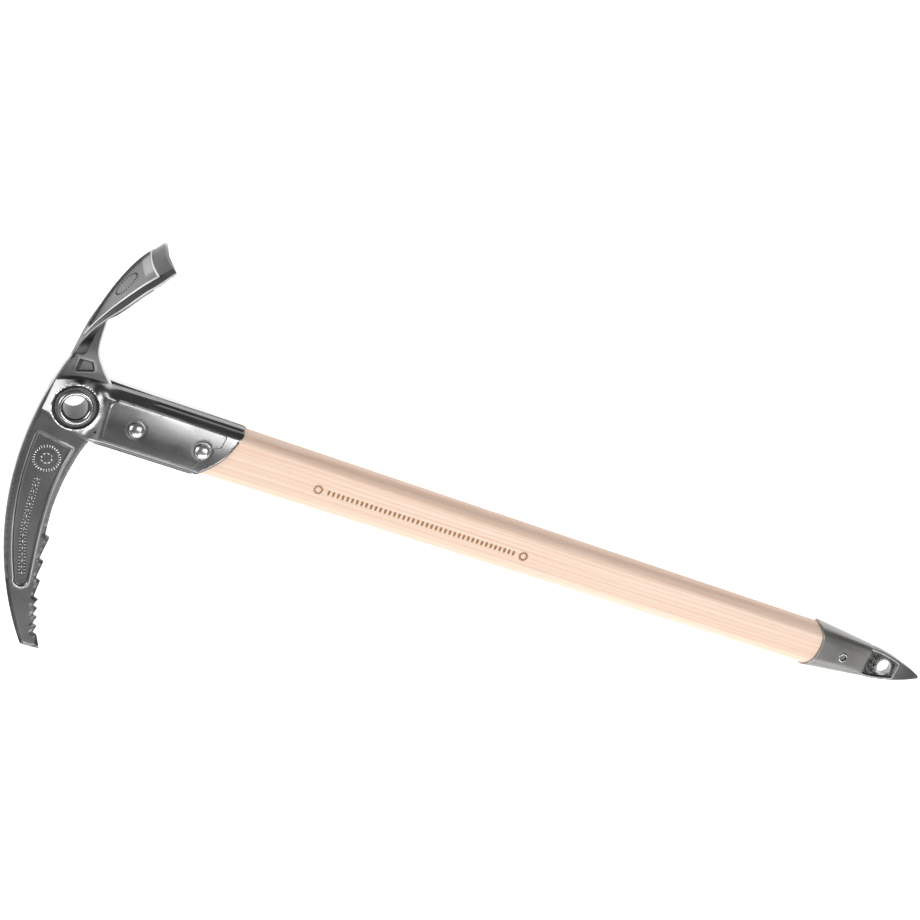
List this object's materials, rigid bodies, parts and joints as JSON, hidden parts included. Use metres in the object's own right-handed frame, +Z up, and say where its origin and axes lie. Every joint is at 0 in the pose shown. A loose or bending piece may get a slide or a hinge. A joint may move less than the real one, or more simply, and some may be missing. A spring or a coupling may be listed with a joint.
{
  "type": "ice axe",
  "caption": "Walking ice axe with a toothed pick, a flared adze, a riveted steel socket, an ash shaft and a ferrule with a flat spike, lying at rest.",
  "frame": {"origin": "centre of the carabiner eye in the head, half way through the blade", "axes": "+X along the shaft from head to spike (within a degree or so), +Y towards the adze, +Z up; the axe lies as it does on level ground"},
  "size_m": [0.6624, 0.2831, 0.069],
  "materials": {
    "head_steel": "satin, fine forged grain",
    "socket_steel": "satin",
    "bright_steel": "polished",
    "ferrule_steel": "satin",
    "spike_steel": "satin, rough cast pocket",
    "ash": "oiled, fine lengthwise grain"
  },
  "bodies": {
    "root": {"head_blade": "head_steel", "front_cheek": "socket_steel", "back_cheek": "socket_steel", "eye_tube": "bright_steel", "eye_washer_front": "bright_steel", "eye_washer_back": "bright_steel", "shaft": "ash", "upper_rivet": "bright_steel", "lower_rivet": "bright_steel", "ferrule": "ferrule_steel", "ferrule_pin": "bright_steel", "spike": "spike_steel"}
  },
  "joints": []
}
